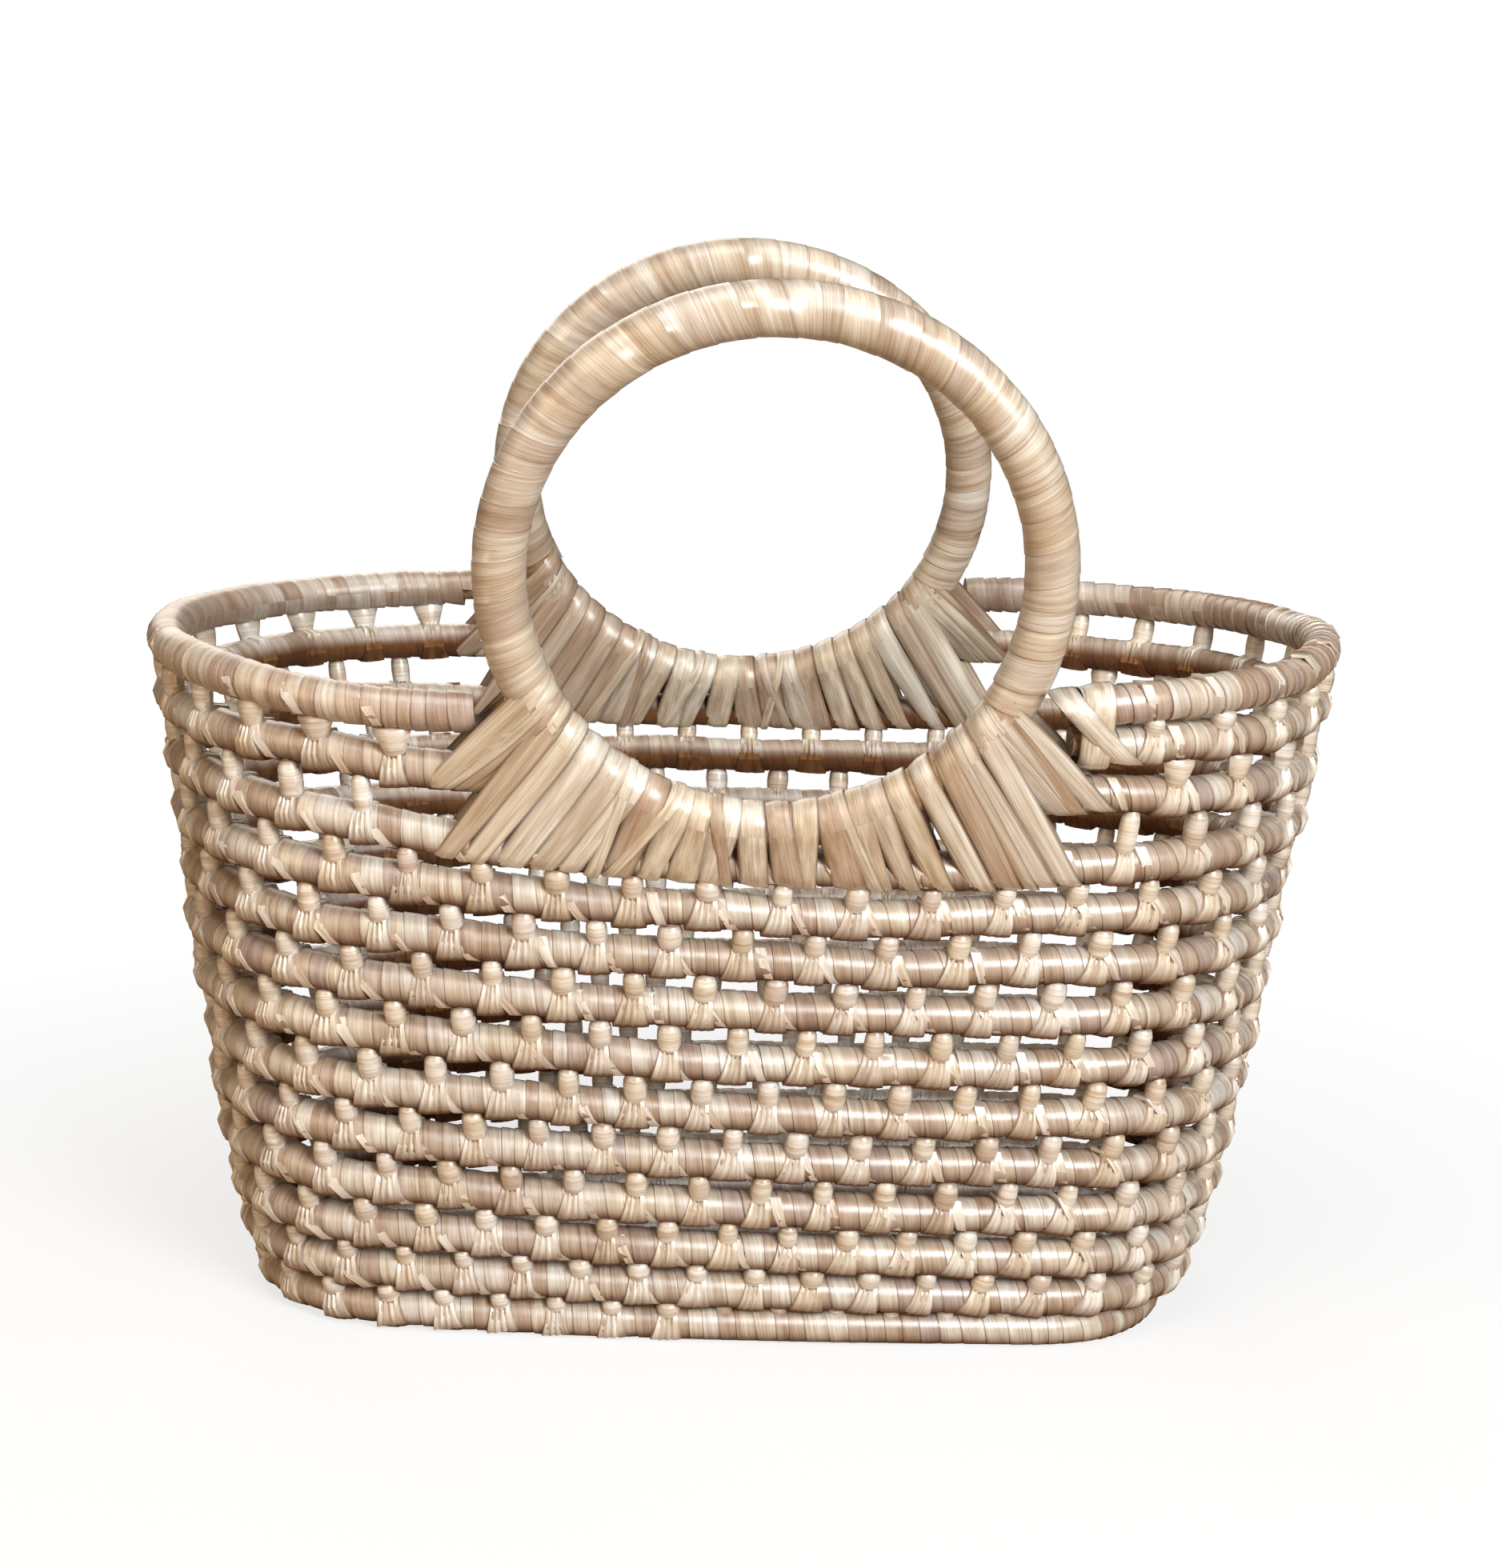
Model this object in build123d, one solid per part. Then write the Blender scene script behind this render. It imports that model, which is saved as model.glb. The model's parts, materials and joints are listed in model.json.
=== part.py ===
from build123d import *
import math
import os

# Open-work coiled basket of palm leaf with two ring handles, in millimetres. +Z is up, +X runs along the
# basket and -Y is its front. The origin is the middle of the base, on the surface that the basket stands on.
# A row's level is its number of turns below the rim, counted at the middle of the front.

# Coiled row: a fibre core inside a wrapping of leaf strip
row_diameter = 10.8
row_wrap = 1.4

# Wall, measured to the middle of its rows
rim_length = 356.0
rim_width = 192.0
wall_turns = 13
even_turns = 9
row_gap = 6.4
foot_gap = 1.2
wall_lean = 12.8
end_lean = 7.8
end_tuck = 7.0
end_round = 0.94
back_rise = 8.7
end_lift = 2.4
lift_fade_turns = 3.0
start_dip = 10.5

# Base coil, cut flat where it stands
base_least_gap = 0.8
floor_cut = 0.5

# Knot stitches: a neck between two rows and a collar round the lower one. The odd half stitch in a turn
# staggers them from row to row.
stitches_per_turn = 40.5
neck_diameter = 5.4
neck_bite = 0.6
collar_length = 8.0
collar_thickness = 0.8
collar_clearance = 0.1
base_neck_diameter = 5.0
base_neck_bite = 0.8

# Ring handles: a cane hoop, its grip wrapping, and the lashing straps at its foot
ring_radius = 74.0
hoop_diameter = 12.6
grip_thickness = 1.2
grip_gap = 4.0
lash_gap = 1.0
lash_sag = 5.5
lash_sag_share = 0.6
lash_angle = 62.0
lash_turn_angle = 45.0
lash_reach = 86.0
lash_side_near = 76.0
lash_side_far = 90.0
lash_straps = 21
strap_width = 6.2
strap_thickness = 0.7
strap_clearance = 0.2
binding_width = 9.0
binding_inset = 9.0
row_end_gap = 9.5
start_gap = 2.0

# Each handle: the level of the row under it, its offset along the rim, its lean towards the front in degrees,
# the sign that a tilt inwards has in that lean, and its travel outwards and inwards
handles = {
    "front": {"level": 3.0, "offset": 4.0, "lean": 14.4, "inwards": -1, "travel": (-6.0, 41.0)},
    "back": {"level": 2.5, "offset": -1.0, "lean": 19.6, "inwards": 1, "travel": (-32.0, 7.0)},
}

row_radius = row_diameter / 2
row_pitch = row_diameter + row_gap
foot_pitch = row_diameter + foot_gap
core_radius = row_radius - row_wrap
hoop_radius = hoop_diameter / 2
ring_tube_radius = hoop_radius + grip_thickness
base_row_height = row_radius - floor_cut


def wall_run(level):
    """Length along the leaning wall from the rim down to a level: even turns, then turns that draw closer."""
    drawn = max(level - even_turns, 0.0)
    return row_pitch * level - (row_pitch - foot_pitch) * drawn**2 / (2 * (wall_turns - even_turns))


def oval(level):
    """Half length and half width of the coil at a level."""
    tuck = end_tuck * (max(level - even_turns, 0.0) / (wall_turns - even_turns)) ** 2
    run = wall_run(level)
    half_length = rim_length / 2 - run * math.sin(math.radians(end_lean)) - tuck
    half_width = rim_width / 2 - run * math.sin(math.radians(wall_lean))
    return half_length, half_width


def row_height(quarter):
    """Height of the coil at a quarter-turn station: the back rises to the rim, the ends lift a little, the rows
    under a handle sag, each by a share of the one above it, and the coil's start dips to the row below it."""
    level = quarter / 4
    height = base_row_height + (wall_run(wall_turns) - wall_run(level)) * math.cos(math.radians(wall_lean))
    height += back_rise * (0.0, 0.5, 1.0, 0.5)[quarter % 4] * (1 - level / wall_turns)
    if quarter % 2 == 1:
        height += end_lift * min(1.0, (wall_turns - level) / lift_fade_turns)
    for handle in handles.values():
        below = level - handle["level"]
        if below >= 0 and below == int(below):
            height -= lash_sag * lash_sag_share**below
    if quarter == 0:
        height -= start_dip
    return height


heading = [Vector(1, 0, 0), Vector(0, 1, 0), Vector(-1, 0, 0), Vector(0, -1, 0)]


def wall_station(quarter):
    """Place of the coil at the front, right, back or left of a turn of the wall."""
    half_length, half_width = oval(quarter / 4)
    outwards = heading[(quarter - 1) % 4]
    return Vector(outwards.X * half_length, outwards.Y * half_width, row_height(quarter))


base_length, base_width = oval(wall_turns)
base_turns = int(base_width / (row_diameter + base_least_gap))
base_pitch = base_width / base_turns
base_run = base_length - base_turns * base_pitch


def base_station(quarter):
    """Place of the coil in the flat base, which winds inwards by half a pitch at each end."""
    turn = base_turns - quarter // 4
    places = [
        (0, -turn * base_pitch),
        (base_run + (turn - 0.5) * base_pitch, -base_pitch / 2),
        (0, (turn - 1) * base_pitch),
        (-base_run - (turn - 1) * base_pitch, 0),
    ]
    return Vector(*places[quarter % 4], base_row_height)


def quarter_wire(start, start_way, end, end_way):
    """A quarter turn as two tangent arcs, the flat one along the side and the tight one round the end, whose
    radius is a share of the half width."""
    length = abs(end.X - start.X)
    width = abs(end.Y - start.Y)
    tight = end_round * width
    flat = ((length - tight) ** 2 + width**2 - tight**2) / (2 * (width - tight))
    flat_angle = math.atan2(length - tight, flat - width)
    along_side = abs(start_way.X) > 0.5
    reach = flat * math.tan(flat_angle / 2) if along_side else tight * math.tan((math.pi / 2 - flat_angle) / 2)
    chord = end - start
    rest = (chord.dot(chord) - 2 * reach * chord.dot(start_way)) / (
        2 * chord.dot(end_way) + 2 * reach * (1 - start_way.dot(end_way))
    )
    first_corner = start + start_way * reach
    second_corner = end - end_way * rest
    middle = first_corner + (second_corner - first_corner) * (reach / (reach + rest))
    middle_way = (second_corner - first_corner).normalized()
    first = Edge.make_tangent_arc(start, start_way, middle)
    second = Edge.make_tangent_arc(middle, middle_way, end)
    return Wire([first, second])


# The coil's path, from the rim down to the base, a quarter turn at a time
wall_quarters = 4 * wall_turns
base_quarters = 4 * (base_turns - 1)
stations = [wall_station(q) for q in range(wall_quarters)] + [base_station(q) for q in range(base_quarters + 1)]
quarters = []
for index in range(wall_quarters + base_quarters):
    ways = []
    for place in (index, index + 1):
        before = stations[max(place - 1, 0)]
        after = stations[min(place + 1, len(stations) - 1)]
        # Two quarters of a turn are about as long as the oval's half length and half width twice over
        climb = (after.Z - before.Z) / (2 * sum(oval(place / 4))) if place < wall_quarters else 0.0
        ways.append((heading[place % 4] + Vector(0, 0, climb)).normalized())
    quarters.append(quarter_wire(stations[index], ways[0], stations[index + 1], ways[1]))
inner = stations[-1]
inner_turn = inner + Vector(base_run, 0, 0)
centre_turn = inner_turn + Vector(0, base_pitch, 0)
centre_run = Wire(
    [
        Edge.make_line(inner, inner_turn),
        Edge.make_tangent_arc(inner_turn, Vector(1, 0, 0), centre_turn),
        Edge.make_line(centre_turn, centre_turn - Vector(2 * base_run, 0, 0)),
    ]
)


def least_gap():
    """Least clear gap of the coil to its own other turns, on points along what is kept of its path."""
    points = []
    for number, wire in enumerate(quarters):
        low, high = kept_share(number)
        for step in range(16):
            points.append((number, tuple(wire @ (low + (high - low) * step / 16))))
    nearest = min(
        math.dist(a, b)
        for place, (number, a) in enumerate(points)
        for other, b in points[place + 1 :]
        if other - number >= 2
    )
    return nearest - row_diameter


def handle_foot(handle):
    """Point of the row that a handle stands on, which its tilt turns about."""
    return stations[int(4 * handle["level"])] + Vector(handle["offset"], 0, 0)


def ring_up(lean):
    """Upward direction in the plane of a ring that leans towards the front."""
    return Vector(0, -math.sin(math.radians(lean)), math.cos(math.radians(lean)))


def ring_centre(handle):
    """Centre of a ring at rest, above its foot by the row, the gap, the hoop and the ring's own radius."""
    return handle_foot(handle) + ring_up(handle["lean"]) * (row_radius + lash_gap + hoop_radius + ring_radius)


def ring_clearance(point, handle):
    """Least distance from a point to the ring's middle line over the handle's whole travel."""
    offset = point - handle_foot(handle)
    low, high = handle["travel"]
    distances = []
    for step in range(25):
        lean = handle["lean"] + handle["inwards"] * (low + (high - low) * step / 24)
        up = ring_up(lean)
        rise = offset.dot(up) - (row_radius + lash_gap + hoop_radius + ring_radius)
        depth = offset.dot(up.cross(Vector(1, 0, 0)))
        distances.append(math.hypot(math.hypot(offset.X, rise) - ring_radius, depth))
    return min(distances)


def clear_share(wire, handle, from_start, gap):
    """Share of a quarter turn, walking towards the handle, up to which a row clears the moving ring."""
    needed = ring_tube_radius + row_radius + gap
    shares = [step / 200 for step in range(201)]
    reached = 1.0 if from_start else 0.0
    for share in reversed(shares) if from_start else shares:
        if ring_clearance(wire @ share, handle) < needed:
            return reached
        reached = share
    return reached


# Rows above a handle's foot stop short of its ring on both sides
kept = {}
for handle in handles.values():
    foot_quarter = int(4 * handle["level"])
    for crossing in range(foot_quarter - 4, -1, -4):
        gap = row_end_gap if crossing > 0 else start_gap
        kept[crossing] = (clear_share(quarters[crossing], handle, True, gap), 1.0)
        if crossing > 0:
            kept[crossing - 1] = (0.0, clear_share(quarters[crossing - 1], handle, False, gap))


def kept_share(index):
    """Part of a quarter turn that is there, as two shares of its length."""
    return kept.get(index, (0.0, 1.0))


def row_path(first, last):
    """Path of a row through whole quarter turns and the kept part of cut ones."""
    edges = []
    for index in range(first, last):
        wire = quarters[index].trim(*kept_share(index)) if index in kept else quarters[index]
        edges.extend(wire.edges())
    return Wire(edges)


def tube(path, outer, hole=0.0):
    """Round tube or rod swept along a path."""
    face = Circle(outer) - Circle(hole) if hole else Circle(outer)
    return sweep(Plane(origin=path @ 0, z_dir=path % 0) * face, path=path)


under_floor = Pos(0, 0, -row_diameter / 2) * Box(2 * rim_length, 2 * rim_width, row_diameter)


def above_floor(shape):
    """What is left of a shape when it is cut flat where the basket stands."""
    return Compound([solid for solid in (shape - under_floor).solids() if solid.center().Z > 0])


def row_at(index, x):
    """Point and direction of a quarter turn where it passes a place along the basket's length."""
    wire = quarters[index]
    low, high = 0.0, 1.0
    rising = (wire @ 1).X > (wire @ 0).X
    for _ in range(40):
        middle = (low + high) / 2
        if ((wire @ middle).X < x) == rising:
            low = middle
        else:
            high = middle
    return wire @ low, wire % low


def lash_places(handle):
    """Where each strap at a handle's foot goes round the hoop and round a row, and whether it is an outer one:
    the middle ones take in the row under the ring, the outer ones the cut ends of the row above it."""
    centre = ring_centre(handle)
    up = ring_up(handle["lean"])
    foot_quarter = int(4 * handle["level"])
    leaving = heading[foot_quarter % 4].X
    places = []
    for number in range(lash_straps):
        angle = lash_angle * (2 * number / (lash_straps - 1) - 1)
        turn = math.radians(angle)
        hoop_point = centre + (Vector(math.sin(turn), 0, 0) - up * math.cos(turn)) * ring_radius
        hoop_way = Vector(math.cos(turn), 0, 0) + up * math.sin(turn)
        outer = abs(angle) > lash_turn_angle
        if outer:
            row = foot_quarter - 4
            share = (abs(angle) - lash_turn_angle) / (lash_angle - lash_turn_angle)
            x = math.copysign(lash_side_near + (lash_side_far - lash_side_near) * share, angle)
        else:
            row = foot_quarter
            x = lash_reach * angle / lash_turn_angle
        x += handle["offset"]
        row_point, row_way = row_at(row if x * leaving > 0 else row - 1, x)
        places.append((hoop_point, hoop_way, row_point, row_way, outer))
    return places


strap_places = [place for handle in handles.values() for place in lash_places(handle)]


def clear_of_straps(upper, lower):
    """Whether a stitch keeps clear of the straps round its lower row and the outer ones round its upper row."""
    for hoop_point, hoop_way, row_point, row_way, outer in strap_places:
        if (lower - row_point).length < collar_length / 2 + strap_width:
            return False
        if outer and (upper - row_point).length < neck_diameter / 2 + strap_width:
            return False
    return True


def stitch_frame(upper, lower):
    """Frame on the lower row with its Z axis towards the upper row, and how far apart the two rows are."""
    across = upper - lower
    return across.normalized(), across.length


def stitch(lower, row_way, upper):
    """One knot stitch: a collar round the lower row and a neck up to the upper row."""
    up, span = stitch_frame(upper, lower)
    way = (row_way - up * row_way.dot(up)).normalized()
    frame = Plane(origin=lower, x_dir=way, z_dir=up)
    inside = row_radius + collar_clearance
    ring = Circle(inside + collar_thickness) - Circle(inside)
    collar = extrude(Plane.YZ * ring, amount=collar_length / 2, both=True)
    neck_start = inside + collar_thickness / 2
    neck_length = span - row_radius + neck_bite - neck_start
    neck = Pos(0, 0, neck_start + neck_length / 2) * Cylinder(neck_diameter / 2, neck_length)
    return frame * (collar + neck)


def base_stitch(lower, upper):
    """One stitch of the base: a neck that joins two rows which nearly touch."""
    up, span = stitch_frame(upper, lower)
    length = span - row_diameter + 2 * base_neck_bite
    return Plane(origin=(lower + upper) * 0.5, z_dir=up) * Cylinder(base_neck_diameter / 2, length)


def stitch_shares(index):
    """Places of the stitches along a quarter turn, counted from the coil's start, where both rows are there."""
    margin = collar_length / quarters[index].length
    low = max(kept_share(index)[0], kept_share(index + 4)[0])
    high = min(kept_share(index)[1], kept_share(index + 4)[1])
    low += margin if low > 0 else 0
    high -= margin if high < 1 else 0
    first, last = (math.ceil(place * stitches_per_turn / 4) for place in (index, index + 1))
    shares = [4 * number / stitches_per_turn - index for number in range(first, last)]
    return [share for share in shares if low <= share < high]


def stitch_row(number):
    """All the stitches between one turn of the wall and the next one down."""
    made = []
    for index in range(4 * number, 4 * number + 4):
        for share in stitch_shares(index):
            lower = quarters[index + 4]
            upper_point = quarters[index] @ share
            if not clear_of_straps(upper_point, lower @ share):
                continue
            one = stitch(lower @ share, lower % share, upper_point)
            made.append(above_floor(one) if one.bounding_box().min.Z < 0 else one)
    return Compound([solid for one in made for solid in one.solids()])


def base_stitch_row():
    """All the stitches between the wall's lowest turn and the base's turns, each across the narrowest place."""
    made = []
    for index in range(wall_quarters - 4, wall_quarters + base_quarters - 4):
        for share in stitch_shares(index):
            upper = quarters[index] @ share
            near = [wire.closest_points(upper)[0] for wire in quarters[index + 3 : index + 6]]
            made.append(base_stitch(min(near, key=lambda point: (point - upper).length), upper))
    return Compound([solid for one in made for solid in one.solids()])


def strap(start, start_way, start_radius, end, end_way, end_radius, width):
    """Flat strap looped round two tubes, like a belt round two rollers, with room for tubes that run askew."""
    way = (end - start).normalized()
    across = start_way + end_way if start_way.dot(end_way) > 0 else start_way - end_way
    across = (across - way * across.dot(way)).normalized()
    side = across.cross(way)
    rollers = []
    for tube_way, radius in ((start_way, start_radius), (end_way, end_radius)):
        straight = abs(tube_way.dot(across))
        stretch = radius * (1 / straight - 1) + width / 2 * abs(tube_way.dot(way)) / straight
        spread = width / 2 * abs(tube_way.dot(side)) / straight
        rollers.append((stretch, radius + spread + strap_clearance))
    places = (-rollers[0][0], (end - start).length + rollers[1][0])
    outlines = []
    for wall in (strap_thickness, 0.0):
        circles = [Pos(x, 0) * Circle(roller[1] + wall) for x, roller in zip(places, rollers)]
        outlines.append(make_hull([circle.edge() for circle in circles]))
    loop = outlines[0] - outlines[1]
    return extrude(Plane(origin=start, x_dir=way, z_dir=across) * loop, amount=width / 2, both=True)


def lashing(handle):
    """Fan of straps at a handle's foot."""
    straps = []
    for hoop_point, hoop_way, row_point, row_way, outer in lash_places(handle):
        straps.append(strap(hoop_point, hoop_way, hoop_radius, row_point, row_way, row_radius, strap_width))
    return Compound([solid for one in straps for solid in one.solids()])


def ring_plane(handle):
    """Plane of a ring, with its X axis along the basket and its Y axis up the ring."""
    up = ring_up(handle["lean"])
    return Plane(origin=ring_centre(handle), x_dir=(1, 0, 0), z_dir=Vector(1, 0, 0).cross(up))


def hoop(handle):
    """Cane hoop of a handle."""
    return Solid.make_torus(ring_radius, hoop_radius, ring_plane(handle))


def grip(handle):
    """Grip wrapping on the part of a hoop that the lashing leaves free."""
    free = lash_angle + math.degrees((strap_width / 2 + grip_gap) / (ring_radius - ring_tube_radius))
    wall = Circle(ring_tube_radius) - Circle(hoop_radius)
    profile = Plane.XZ * Pos(ring_radius, 0) * wall
    turned = Rot(0, 0, free - 90) * revolve(profile, Axis.Z, 360 - 2 * free)
    return ring_plane(handle) * turned


def end_binding():
    """Strap that binds the coil's upper end to the row below, right of the front handle."""
    start, way = row_at(0, (quarters[0] @ kept_share(0)[0]).X + binding_inset)
    below, below_way = row_at(4, start.X)
    return strap(start, way, row_radius, below, below_way, row_radius, binding_width)


rows = {
    "rim_right": (0, 2),
    "rim_left": (2, 4),
    "second_row_right": (4, 6),
    "second_row_left": (6, 8),
}
for turn in range(3, wall_turns + 1):
    rows[f"row_{turn:02d}"] = (4 * turn - 4, 4 * turn)

nodes = {}
for name, (first, last) in rows.items():
    path = row_path(first, last)
    nodes[f"{name}_core"] = tube(path, core_radius)
    wrapping = tube(path, row_radius, core_radius)
    nodes[f"{name}_wrapping"] = above_floor(wrapping) if last == wall_quarters else wrapping
base_path = Wire([edge for wire in quarters[wall_quarters:] + [centre_run] for edge in wire.edges()])
nodes["base_core"] = tube(base_path, core_radius)
nodes["base_wrapping"] = above_floor(tube(base_path, row_radius, core_radius))
for number in range(wall_turns - 1):
    nodes[f"stitches_{number + 1:02d}"] = stitch_row(number)
nodes["base_stitches"] = base_stitch_row()
for name, handle in handles.items():
    nodes[f"{name}_hoop"] = hoop(handle)
    nodes[f"{name}_grip"] = grip(handle)
    nodes[f"{name}_lashing"] = lashing(handle)
nodes["end_binding"] = end_binding()

os.makedirs("parts", exist_ok=True)
for name, shape in nodes.items():
    export_step(shape, f"parts/{name}.step")

print("least gap of the coil to itself", round(least_gap(), 2))
for index, ends in kept.items():
    print("quarter", index, "kept between x", [round((quarters[index] @ share).X, 1) for share in ends])
print("base rows", base_turns, "base pitch", round(base_pitch, 2), "base half size", base_length, base_width)
for name, handle in handles.items():
    print(name, "hinge at", handle_foot(handle), "ring centre", ring_centre(handle))
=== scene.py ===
import json
import math

import bpy
import numpy as np
from mathutils import Matrix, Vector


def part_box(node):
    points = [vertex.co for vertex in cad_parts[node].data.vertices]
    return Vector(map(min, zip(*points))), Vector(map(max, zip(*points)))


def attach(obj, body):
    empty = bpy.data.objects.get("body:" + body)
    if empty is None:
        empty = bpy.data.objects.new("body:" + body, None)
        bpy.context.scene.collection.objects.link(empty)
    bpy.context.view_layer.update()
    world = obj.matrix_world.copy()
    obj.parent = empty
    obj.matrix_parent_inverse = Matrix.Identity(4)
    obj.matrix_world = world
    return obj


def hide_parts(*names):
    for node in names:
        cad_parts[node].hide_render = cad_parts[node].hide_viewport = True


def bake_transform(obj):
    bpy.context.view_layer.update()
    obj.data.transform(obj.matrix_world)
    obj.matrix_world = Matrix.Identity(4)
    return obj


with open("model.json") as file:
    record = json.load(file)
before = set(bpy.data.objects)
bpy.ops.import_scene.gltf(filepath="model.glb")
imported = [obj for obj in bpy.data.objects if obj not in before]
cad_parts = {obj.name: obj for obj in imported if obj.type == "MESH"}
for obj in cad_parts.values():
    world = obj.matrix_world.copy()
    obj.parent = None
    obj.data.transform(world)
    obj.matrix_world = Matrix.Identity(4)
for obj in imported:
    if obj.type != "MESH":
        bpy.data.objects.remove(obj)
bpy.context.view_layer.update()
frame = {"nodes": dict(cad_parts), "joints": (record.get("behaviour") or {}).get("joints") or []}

# Open-work coiled basket of palm leaf with two ring handles, in metres. One long coil starts at the rim,
# winds down the wall and in to the middle of the base. Below, s is the length along the coil from its start.

# Path of the coil: the same oval turns as the frame's rows, a quarter turn at a time, with a slight
# hand-made waviness that dies out towards the base, where the rows lie close.
row_radius = 0.0054
rim_length = 0.356
rim_width = 0.192
wall_turns = 13
even_turns = 9
row_pitch = 0.0172
foot_pitch = 0.0120
wall_lean = math.radians(12.8)
end_lean = math.radians(7.8)
end_tuck = 0.007
end_round = 0.94
back_rise = 0.0087
back_rise_shares = (0.0, 0.5, 1.0, 0.5)
end_lift = 0.0024
lift_fade_turns = 3.0
start_dip = 0.0105
base_row_height = 0.0049
base_turns = 4
lash_sag = 0.0055
lash_sag_share = 0.6
handle_levels = {"front": 3.0, "back": 2.5}
arc_points = 48
wave_height = 0.0006
wave_spacing = 0.028
wave_smoothing = 15
wave_shares = (1.0, 0.8, 0.0)
still_quarters = 6
spare_length = 0.1
rounding = 1e-9


def wall_run(level):
    """Length along the leaning wall from the rim down to a level: even turns, then turns that draw closer."""
    drawn = max(level - even_turns, 0.0)
    return row_pitch * level - (row_pitch - foot_pitch) * drawn**2 / (2 * (wall_turns - even_turns))


def oval(level):
    """Half length and half width of the coil at a level: the rim's own, less the run times the sine of the
    lean. Near the foot the ends are tucked in as well."""
    tuck = end_tuck * (max(level - even_turns, 0.0) / (wall_turns - even_turns)) ** 2
    half_length = rim_length / 2 - wall_run(level) * math.sin(end_lean) - tuck
    half_width = rim_width / 2 - wall_run(level) * math.sin(wall_lean)
    return half_length, half_width


def wall_station(quarter):
    """Place of the coil at the front, right, back or left of a turn of the wall: on the oval, at the height
    of the run left to the foot times the cosine of the lean. It rises to the back and the ends and sags
    under the handles."""
    level = quarter / 4
    half_length, half_width = oval(level)
    place = [(0, -half_width), (half_length, 0), (0, half_width), (-half_length, 0)][quarter % 4]
    height = base_row_height + (wall_run(wall_turns) - wall_run(level)) * math.cos(wall_lean)
    height += back_rise * back_rise_shares[quarter % 4] * (1 - level / wall_turns)
    if quarter % 2 == 1:
        height += end_lift * min(1.0, (wall_turns - level) / lift_fade_turns)
    for handle_level in handle_levels.values():
        below = level - handle_level
        if below >= 0 and below == int(below):
            height -= lash_sag * lash_sag_share**below
    if quarter == 0:
        height -= start_dip
    return np.array([*place, height])


base_length, base_width = oval(wall_turns)
base_pitch = base_width / base_turns
base_run = base_length - base_turns * base_pitch


def base_station(quarter):
    """Place of the coil in the flat base, which winds inwards by half a pitch at each end."""
    turn = base_turns - quarter // 4
    places = [
        (0, -turn * base_pitch),
        (base_run + (turn - 0.5) * base_pitch, -base_pitch / 2),
        (0, (turn - 1) * base_pitch),
        (-base_run - (turn - 1) * base_pitch, 0),
    ]
    return np.array([*places[quarter % 4], base_row_height])


def tangent_arc(start, way, end, shares):
    """Points of the circular arc that leaves the start along a unit way and meets the end, at shares of its
    turn: radius times sine along the way, and radius times one less cosine inwards."""
    chord = end - start
    along = chord @ way
    rise = math.sqrt(max(chord @ chord - along**2, 0.0))
    if rise < rounding:
        return start + shares[:, None] * chord
    half_turn = math.atan2(rise, along)
    radius = math.sqrt(chord @ chord) / (2 * math.sin(half_turn))
    inwards = (chord - along * way) / rise
    turn = 2 * half_turn * shares[:, None]
    return start + radius * (np.sin(turn) * way + (1 - np.cos(turn)) * inwards)


def quarter_points(start, start_way, end, end_way, shares):
    """A quarter turn as two tangent arcs, the flat one along the side and the tight one round the end."""
    length = abs(end[0] - start[0])
    width = abs(end[1] - start[1])
    tight = end_round * width
    flat = ((length - tight) ** 2 + width**2 - tight**2) / (2 * (width - tight))
    flat_angle = math.atan2(length - tight, flat - width)
    if abs(start_way[0]) > abs(start_way[1]):
        reach = flat * math.tan(flat_angle / 2)
    else:
        reach = tight * math.tan((math.pi / 2 - flat_angle) / 2)
    chord = end - start
    rest = (chord @ chord - 2 * reach * chord @ start_way) / (
        2 * chord @ end_way + 2 * reach * (1 - start_way @ end_way)
    )
    first_corner = start + reach * start_way
    second_corner = end - rest * end_way
    middle = first_corner + (second_corner - first_corner) * (reach / (reach + rest))
    middle_way = (second_corner - first_corner) / np.linalg.norm(second_corner - first_corner)
    first = tangent_arc(start, start_way, middle, shares)
    second = tangent_arc(middle, middle_way, end, shares)
    return np.concatenate([first, second])


wall_quarters = 4 * wall_turns
base_quarters = 4 * (base_turns - 1)
stations = [wall_station(quarter) for quarter in range(wall_quarters)]
stations += [base_station(quarter) for quarter in range(base_quarters + 1)]
headings = np.array([(1.0, 0, 0), (0, 1, 0), (-1, 0, 0), (0, -1, 0)])
shares = np.linspace(0, 1, arc_points, endpoint=False)
runs = []
for index in range(wall_quarters + base_quarters):
    ways = []
    for place in (index, index + 1):
        fall = stations[min(place + 1, len(stations) - 1)][2] - stations[max(place - 1, 0)][2]
        climb = fall / (2 * sum(oval(place / 4))) if place < wall_quarters else 0.0
        way = headings[place % 4] + np.array([0, 0, climb])
        ways.append(way / np.linalg.norm(way))
    runs.append(quarter_points(stations[index], ways[0], stations[index + 1], ways[1], shares))
inner_turn = stations[-1] + np.array([base_run, 0, 0])
centre_turn = inner_turn + np.array([0, base_pitch, 0])
runs.append(stations[-1] + shares[:, None] * (inner_turn - stations[-1]))
runs.append(tangent_arc(inner_turn, headings[0], centre_turn, shares))
runs.append(centre_turn + np.linspace(0, 1, arc_points)[:, None] * np.array([-2 * base_run, 0, 0]))
coil = np.concatenate(runs)
coil_s = np.concatenate([[0.0], np.cumsum(np.linalg.norm(np.diff(coil, axis=0), axis=1))])
quarter_starts = np.cumsum([0] + [len(run) for run in runs])
quarter_s = coil_s[np.minimum(quarter_starts, len(coil) - 1)]
coil_way = np.gradient(coil, coil_s, axis=0)
coil_way /= np.linalg.norm(coil_way, axis=1)[:, None]
coil_out = np.cross(coil_way, (0, 0, 1))
coil_out /= np.linalg.norm(coil_out, axis=1)[:, None]
coil_up = np.cross(coil_out, coil_way)
chance = np.random.default_rng(146)
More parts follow.
